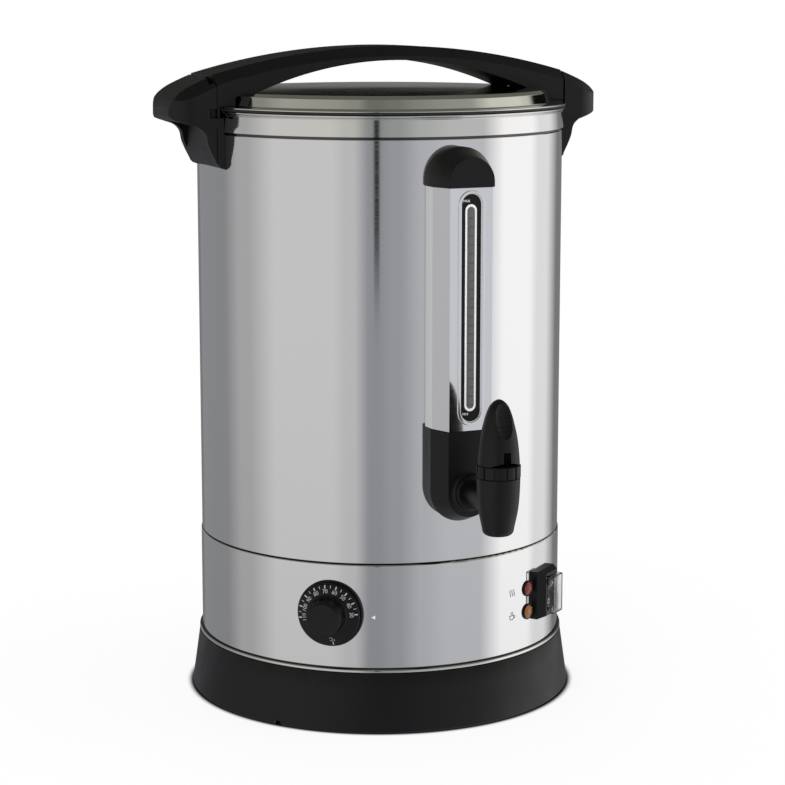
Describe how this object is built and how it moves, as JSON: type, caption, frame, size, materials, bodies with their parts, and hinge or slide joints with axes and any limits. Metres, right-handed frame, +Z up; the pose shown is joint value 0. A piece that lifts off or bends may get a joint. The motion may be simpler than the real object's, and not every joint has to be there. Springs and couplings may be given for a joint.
{
  "type": "hot water urn",
  "caption": "Free-standing stainless steel hot water urn with a bayonet lid under an arched handle, side handles, a front level gauge, a lever tap, a thermostat knob, lamps and a rocker switch.",
  "frame": {"origin": "on the vessel's axis, in the plane of the base ring's foot, which is the surface the urn stands on", "axes": "+Z up along the vessel's axis, -Y towards the front with the level gauge and the tap, +X towards the side handle on the right of someone facing the tap"},
  "size_m": [0.346, 0.3777, 0.4986],
  "materials": {
    "polished_steel": "bright polished stainless sheet",
    "black_plastic": "black heat-resistant plastic, satin with a fine mould texture",
    "black_silicone": "black silicone rubber",
    "white_silicone": "translucent white silicone rubber",
    "clear_glass": "clear borosilicate glass",
    "clear_plastic": "clear flexible PVC cover",
    "red_lens": "transparent red plastic lens",
    "amber_lens": "transparent amber plastic lens",
    "aluminium": "machined aluminium",
    "brass": "nickel-plated brass",
    "zinc_steel": "zinc-plated steel",
    "stainless_rod": "drawn stainless steel",
    "element_sheath": "heat-tinted stainless element sheath",
    "copper": "copper tube",
    "ceramic": "glazed steatite",
    "clear_vent": "natural polypropylene"
  },
  "bodies": {
    "urn": {"base_plate": "zinc_steel", "base_ring": "black_plastic", "boil_dry_cutout": "zinc_steel", "bulb_clip": "zinc_steel", "cutout_bracket": "zinc_steel", "dial_bezel": "black_plastic", "element_nuts": "zinc_steel", "foot_pads": "black_silicone", "gauge_cap": "black_plastic", "gauge_cover": "polished_steel", "gauge_seals": "white_silicone", "gauge_tee": "clear_vent", "gauge_tube": "clear_glass", "heat_spreader": "aluminium", "heating_lamp_lens": "red_lens", "inlet_pins": "brass", "inlet_screws": "zinc_steel", "keep_warm_element": "element_sheath", "keep_warm_lamp_lens": "amber_lens", "lamp_bezels": "black_plastic", "lamp_bodies": "black_plastic", "lower_shell": "polished_steel", "main_element": "element_sheath", "power_inlet": "black_plastic", "scale_plate": "black_plastic", "side_handle_left": "black_plastic", "side_handle_right": "black_plastic", "side_screws": "zinc_steel", "side_washers": "white_silicone", "stem_spring": "stainless_rod", "switch_body": "black_plastic", "switch_cover": "clear_plastic", "tap_body": "black_plastic", "tap_bonnet": "black_plastic", "tap_housing": "black_plastic", "tap_locknut": "black_plastic", "tap_washers": "white_silicone", "terminal_block": "ceramic", "thermostat_body": "black_plastic", "thermostat_bulb": "copper", "thermostat_screws": "zinc_steel", "tie_bolts": "zinc_steel", "tie_pillars": "zinc_steel", "tube_plug": "clear_vent", "vessel": "polished_steel"},
    "thermostat_knob": {"thermostat_knob": "black_plastic", "thermostat_shaft": "stainless_rod"},
    "rocker": {"switch_rocker": "black_plastic"},
    "tap_stem": {"tap_stem": "stainless_rod", "seat_cup": "white_silicone", "lever_pin": "stainless_rod"},
    "tap_lever": {"tap_lever": "black_plastic"},
    "lid_carrier": {"lid_gasket": "black_silicone"},
    "lid": {"lid_pan": "polished_steel", "lid_handle": "black_plastic", "lid_screws": "zinc_steel"}
  },
  "joints": [
    {"name": "lid_lift", "type": "slide", "parent": "urn", "child": "lid_carrier", "axis": [0, 0, 1], "range_m": [0, 0.15]},
    {"name": "lid_turn", "type": "hinge", "parent": "lid_carrier", "child": "lid", "pos_m": [0, 0, 0.46], "axis": [0, 0, 1], "range_deg": [0, 25]},
    {"name": "stem_lift", "type": "slide", "parent": "urn", "child": "tap_stem", "axis": [0, 0, 1], "range_m": [0, 0.00525], "deforming": ["stem_spring"]},
    {"name": "lever_tilt", "type": "hinge", "parent": "tap_stem", "child": "tap_lever", "pos_m": [0, -0.213, 0.218], "axis": [1, 0, 0], "range_deg": [0, 30], "stiffness_Nm_per_rad": 0.3, "springref_deg": -11.46},
    {"name": "thermostat_turn", "type": "hinge", "parent": "urn", "child": "thermostat_knob", "pos_m": [-0.08662, -0.11087, 0.0886], "axis": [0.6157, 0.788, 0], "range_deg": [0, 188]},
    {"name": "switch_rock", "type": "hinge", "parent": "urn", "child": "rocker", "pos_m": [0.09105, -0.11324, 0.0864], "axis": [-0.7793, -0.6266, 0], "range_deg": [0, 20]}
  ],
  "couplings": [
    {"joint": "stem_lift", "follows": "lever_tilt", "m_per_rad": 0.01}
  ]
}
